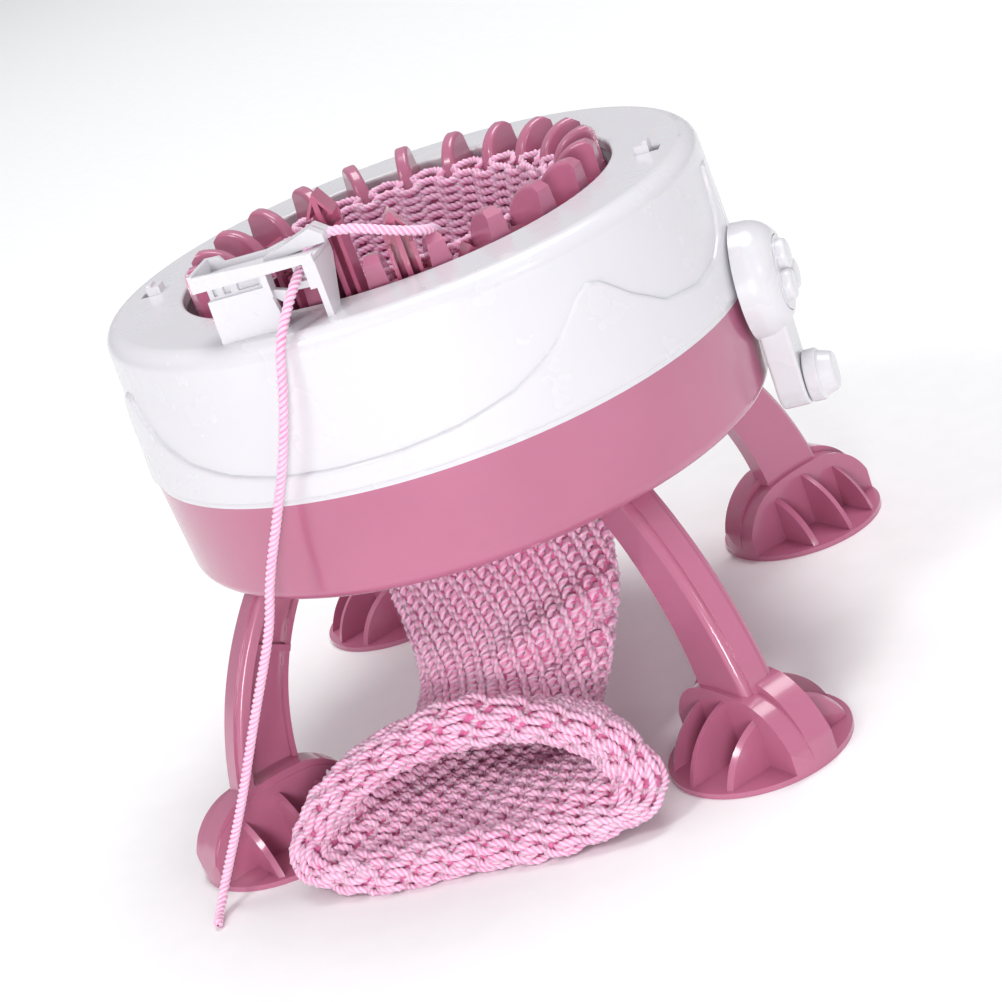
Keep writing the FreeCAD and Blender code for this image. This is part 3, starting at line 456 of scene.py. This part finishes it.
def fabric_lines():
    """Closed lines round the fabric, from its first row at the cuff's turned-back edge up to the needles."""
    dense = np.linspace(-math.pi / 2, 1.5 * math.pi, 721)
    lines = []
    down = np.concatenate([np.linspace(0, WAIST, 130, endpoint=False), np.linspace(WAIST, MOUTH, 50)])
    for at, section in zip(down, sections_at(down)):
        lines.append(section_points(section, even_angles(section, dense), 0.0))
    last = sections_at([MOUTH])[0]
    theta = even_angles(last, dense)
    # the roll is thinner at its front and back, and a little uneven all round
    rim_r = RIM_R - 0.6 * np.clip(-np.sin(theta), 0, 1) - 0.8 * np.clip(np.sin(theta), 0, 1)
    rim_r = rim_r + 0.35 * np.sin(3 * theta + 0.6) + 0.2 * np.sin(7 * theta)
    inner = lines[-1]
    outward = section_points(last, theta, 1.0) - inner
    outward /= np.linalg.norm(outward, axis=1)[:, None]
    onward = inner - lines[-3]
    onward -= outward * np.sum(onward * outward, axis=1)[:, None]
    onward /= np.linalg.norm(onward, axis=1)[:, None]
    for turn in np.linspace(0, math.pi, 34)[1:]:
        lines.append(inner + rim_r[:, None] * ((1 - math.cos(turn)) * outward + math.sin(turn) * onward))
    back = np.linspace(MOUTH, CUFF_TOP, 24)[1:]
    for at, section in zip(back, sections_at(back)):
        share = (MOUTH - at) / (MOUTH - CUFF_TOP)
        out = 2 * rim_r * (1 - 0.45 * share)
        lines.append(section_points(section, even_angles(section, dense), out))
    return np.array(lines[::-1])


def ruffled(lines):
    """The fabric's slack: a scalloped edge between the needles, a deep slanting fold and slow, shallow dents."""
    normal = line_normals(lines)
    count = len(lines)
    s = np.linspace(0, 1, count)[:, None]
    u = np.linspace(0, 1, COLUMNS, endpoint=False)[None, :]
    azimuth = np.degrees(np.arctan2(lines[..., 1], lines[..., 0]))
    x, y, z = lines[..., 0], lines[..., 1], lines[..., 2]
    near_needles = np.clip((z - 136) / 14, 0, 1) ** 2
    scallop = 1.1 * near_needles * np.cos(np.radians(NEEDLES * (azimuth - NEEDLE_PHASE)))
    fold_line = z - 34.0 - 0.34 * (x - 14)
    on_right = np.clip((x + 14) / 26, 0, 1) * np.clip((60 - z) / 10, 0, 1)
    on_right *= np.clip(-normal[..., 1], 0, 1) * np.clip((np.arange(count)[:, None] - TUBE_START) / 12, 0, 1)
    ridge = FOLD_RIDGE * np.exp(-((fold_line - 4.5) / 4.6) ** 2)
    groove = FOLD_GROOVE * np.exp(-((fold_line + 3.4) / 3.2) ** 2)
    fold = on_right * (ridge - groove)
    slow = 0.55 * np.sin(2 * math.pi * (2 * u + 3.1 * s) + 0.8) + 0.45 * np.sin(2 * math.pi * (3 * u - 5.3 * s) + 2.1)
    slow += 0.35 * np.sin(2 * math.pi * (5 * u + 8.7 * s) + 4.0)
    slack = slow * np.clip((140 - z) / 60, 0, 1)
    return lines + normal * (scallop + fold + slack)[..., None]


def line_normals(lines):
    """Unit normals on the knit side, which is the outside of the hanging tube."""
    round_it = np.roll(lines, -1, axis=1) - np.roll(lines, 1, axis=1)
    up_it = np.gradient(lines, axis=0)
    normal = np.cross(round_it, up_it)
    return normal / np.linalg.norm(normal, axis=2)[..., None]


class Fabric:
    """The fabric's middle surface, read by wale and row."""

    def __init__(self):
        self.lines = ruffled(fabric_lines())
        self.normals = line_normals(self.lines)
        step = np.linalg.norm(np.diff(self.lines, axis=0), axis=2).mean(axis=1)
        # the rolled-back cuff is knitted looser than the tube
        share = np.clip((CUFF_END - np.arange(len(step))) / 16, 0, 1)
        funnel = np.clip((self.lines[1:, :, 2].mean(axis=1) - 80) / 16, 0, 1)
        pitch = ROW + (CUFF_ROW - ROW) * share + (FUNNEL_ROW - ROW) * funnel
        self.row_at = np.concatenate([[0], np.cumsum(step / pitch)])
        self.rows = int(self.row_at[-1])

    def read(self, wale, row):
        """Position and normal at a wale, counted round from the front, and a row, counted up from the cuff's edge."""
        line = np.interp(np.clip(row, 0, self.rows), self.row_at, np.arange(len(self.row_at)))
        low = np.clip(np.floor(line).astype(int), 0, len(self.lines) - 2)
        f = (line - low)[:, None]
        column = np.mod(wale, NEEDLES) * COLUMNS / NEEDLES
        left = np.floor(column).astype(int) % COLUMNS
        right = (left + 1) % COLUMNS
        g = (column - np.floor(column))[:, None]

        def blend(grid):
            return ((grid[low, left] * (1 - g) + grid[low, right] * g) * (1 - f)
                    + (grid[low + 1, left] * (1 - g) + grid[low + 1, right] * g) * f)

        normal = blend(self.normals)
        return blend(self.lines), normal / np.linalg.norm(normal, axis=1)[:, None]


LOOP_LEAN = 0.20
LOOP_REACH = 0.78
LOOP_DEPTH = 1.15
SAMPLES = 36
WALE_SHIFT = (90 + NEEDLE_PHASE) / PITCH - 0.5
TWIST_PER_ROW = 0.17
SHADE_SHEET_SHORT = 8


def yarn_line(fabric, first_row, last_row):
    """The yarn's line through rows of loops, as one spiral, with its knit-side directions."""
    count = int((last_row - first_row) * NEEDLES * SAMPLES)
    q = first_row * NEEDLES + np.arange(count + 1) / SAMPLES
    phase = 2 * math.pi * q
    row = q / NEEDLES
    jitter = 0.05 * np.sin(2.7 * q + 1.3) + 0.04 * np.sin(6.1 * q)
    below_needles = np.clip(fabric.rows - 18 - row, 0, None)
    wale = q + LOOP_LEAN * np.sin(2 * phase) + WALE_SHIFT + TWIST_PER_ROW * below_needles
    height = row + 0.6 - (LOOP_REACH + jitter) * np.cos(phase)
    place, normal = fabric.read(wale, height)
    depth = -LOOP_DEPTH * np.cos(2 * phase)
    path = place + normal * depth[:, None]
    # the newest loops reach out to the needles
    newest = row > fabric.rows - 1.6
    head = np.clip(-np.cos(phase), 0, 1) ** 1.5 * newest * np.clip((row - fabric.rows + 1.6) / 0.6, 0, 1)
    radial = place * np.array([1, 1, 0])
    radial /= np.linalg.norm(radial, axis=1)[:, None]
    path = path + radial * (head * NEWEST_REACH)[:, None] + np.array([0, 0, 1.0]) * (head * NEWEST_LIFT)[:, None]
    return path, normal


def knit(yarn_material, shade_material):
    fabric = Fabric()
    pieces = []
    edges = np.linspace(0, fabric.rows - 0.6, BANDS + 1)
    edges = np.round(edges * NEEDLES) / NEEDLES
    for i in range(BANDS):
        path, normal = yarn_line(fabric, edges[i], edges[i + 1])
        path = path * MM
        piece = plied_tube(f"knit_rows_{i + 1}", path, FABRIC_YARN_SIDES, FABRIC_YARN_R * MM, yarn_material, normal,
                           taper=False, start_length=i * 0.001)
        pieces.append(piece)
    # a dark sheet of painted shade near the middle of the fabric, seen through the gaps between stitches
    thin = (fabric.lines + fabric.normals * 0.5)[:-SHADE_SHEET_SHORT]
    thin = thin[::2, ::2]
    shade_sheet = mesh_object("knit_shade_sheet", thin.reshape(-1, 3) * MM, grid_faces(*thin.shape[:2], True), shade_material)
    pieces.append(shade_sheet)
    for piece in pieces:
        points = np.zeros(len(piece.data.vertices) * 3, np.float32)
        piece.data.vertices.foreach_get("co", points)
        points = points.reshape(-1, 3)
        points[:, 2] = np.maximum(points[:, 2], FLOOR_GAP * MM)
        piece.data.vertices.foreach_set("co", points.ravel())
        piece.data.update()
        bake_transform(piece)
    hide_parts("knit_tube")
    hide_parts("knit_funnel")


# ======== the raised wave on the cover

WAVE_MIDDLE = -94.5
# How high the raised band reaches at each angle from its middle, in degrees and millimetres.
WAVE = ((0, 114.5), (12, 115.0), (22, 116.5), (32, 119.6), (38, 123.5), (42, 127.0), (45.5, 132.0), (48, 135.8),
        (50.5, 137.3), (53, 136.0), (58, 129.0), (65, 122.0), (75, 119.6), (83, 121.4), (88, 125.2), (91, 130.5),
        (92.6, 137.0), (93.4, 143.0), (110, 143.0))
WAVE_STEP = 1.1
WAVE_EDGE = ((-0.35, -0.25), (0.0, 0.05), (0.10, 0.50), (0.30, 0.82), (0.7, 1.03), (1.3, 1.1))


def cover_wave(material):
    away = np.unique(np.concatenate([np.arange(0, 88, 0.5), np.arange(88, 101.01, 0.1)]))
    knots = np.array(WAVE)
    # a smooth curve through the knots, from straight runs blurred along the band
    fine = np.linspace(0, 110, 1101)
    level = np.interp(fine, knots[:, 0], knots[:, 1])
    kernel = np.hanning(23)
    padded = np.concatenate([level[11:0:-1], level, np.full(11, level[-1])])
    top = np.interp(away, fine, np.convolve(padded, kernel / kernel.sum(), "valid"))
    both = np.concatenate([-away[::-1], away[1:]])
    tops = np.concatenate([top[::-1], top[1:]])
    bottom = SEAM_Z + 1.6
    rows = []
    for below, step in WAVE_EDGE:
        rows.append((tops - below, np.full_like(tops, step)))
    for share in np.linspace(0.12, 0.97, 8):
        rows.append(((tops - 1.2) * (1 - share) + bottom * share, np.full_like(tops, WAVE_STEP)))
    rows.append((np.full_like(tops, bottom), np.full_like(tops, WAVE_STEP * 0.6)))
    rows.append((np.full_like(tops, bottom - 0.4), np.full_like(tops, -0.3)))
    fade = np.clip((100.5 - np.abs(both)) / 6, 0, 1)
    azimuth = np.radians(WAVE_MIDDLE + both)
    grid = []
    for z, step in rows:
        r = SEAM_R + (COVER_TOP_R - SEAM_R) * (z - SEAM_Z) / (COVER_TOP_Z - SEAM_Z)
        r = r + np.where(step > 0, step * fade - 0.25 * (1 - fade), step)
        grid.append(np.stack([r * np.cos(azimuth), r * np.sin(azimuth), z], -1))
    grid = np.array(grid)[::-1] * MM
    piece = mesh_object("cover_wave", grid.reshape(-1, 3), grid_faces(*grid.shape[:2], False), material)
    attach(piece, "base")


# ======== everything together

def paint(plastics):
    slots = {p["node"]: p["material_slot"] for p in frame["record"]["subparts"]}
    for name, node in frame["nodes"].items():
        material = plastics.get(slots[name])
        if material is None:
            continue
        node.data.materials.clear()
        node.data.materials.append(material)


place_camera()
# the yarn's lit colour, then its deeper colour for the painted shade between the plies and for random patches
yarn = plied_yarn("yarn", (0.98, 0.63, 0.80), (0.86, 0.16, 0.41))
lay_yarn(yarn)
light_scene()
finishes = {
    "pink_plastic": moulded_plastic("pink_plastic", (0.475, 0.148, 0.247), (0.450, 0.136, 0.230), 0.22, 0.45),
    "needle_plastic": moulded_plastic("needle_plastic", (0.46, 0.100, 0.195), (0.38, 0.070, 0.145), 0.18, 0.6),
    "white_plastic": moulded_plastic("white_plastic", (0.705, 0.69, 0.723), (0.695, 0.68, 0.713), 0.26, 0.35),
    "steel": brushed_steel(),
}
paint(finishes)
cover_wave(finishes["white_plastic"])
knit(yarn, painted_shade_sheet())

floor_corners = [(-FLOOR_HALF_M, -FLOOR_HALF_M, 0), (FLOOR_HALF_M, -FLOOR_HALF_M, 0),
                 (FLOOR_HALF_M, FLOOR_HALF_M, 0), (-FLOOR_HALF_M, FLOOR_HALF_M, 0)]
floor = mesh_object("floor", floor_corners, [(0, 1, 2, 3)], pale_floor(), False)
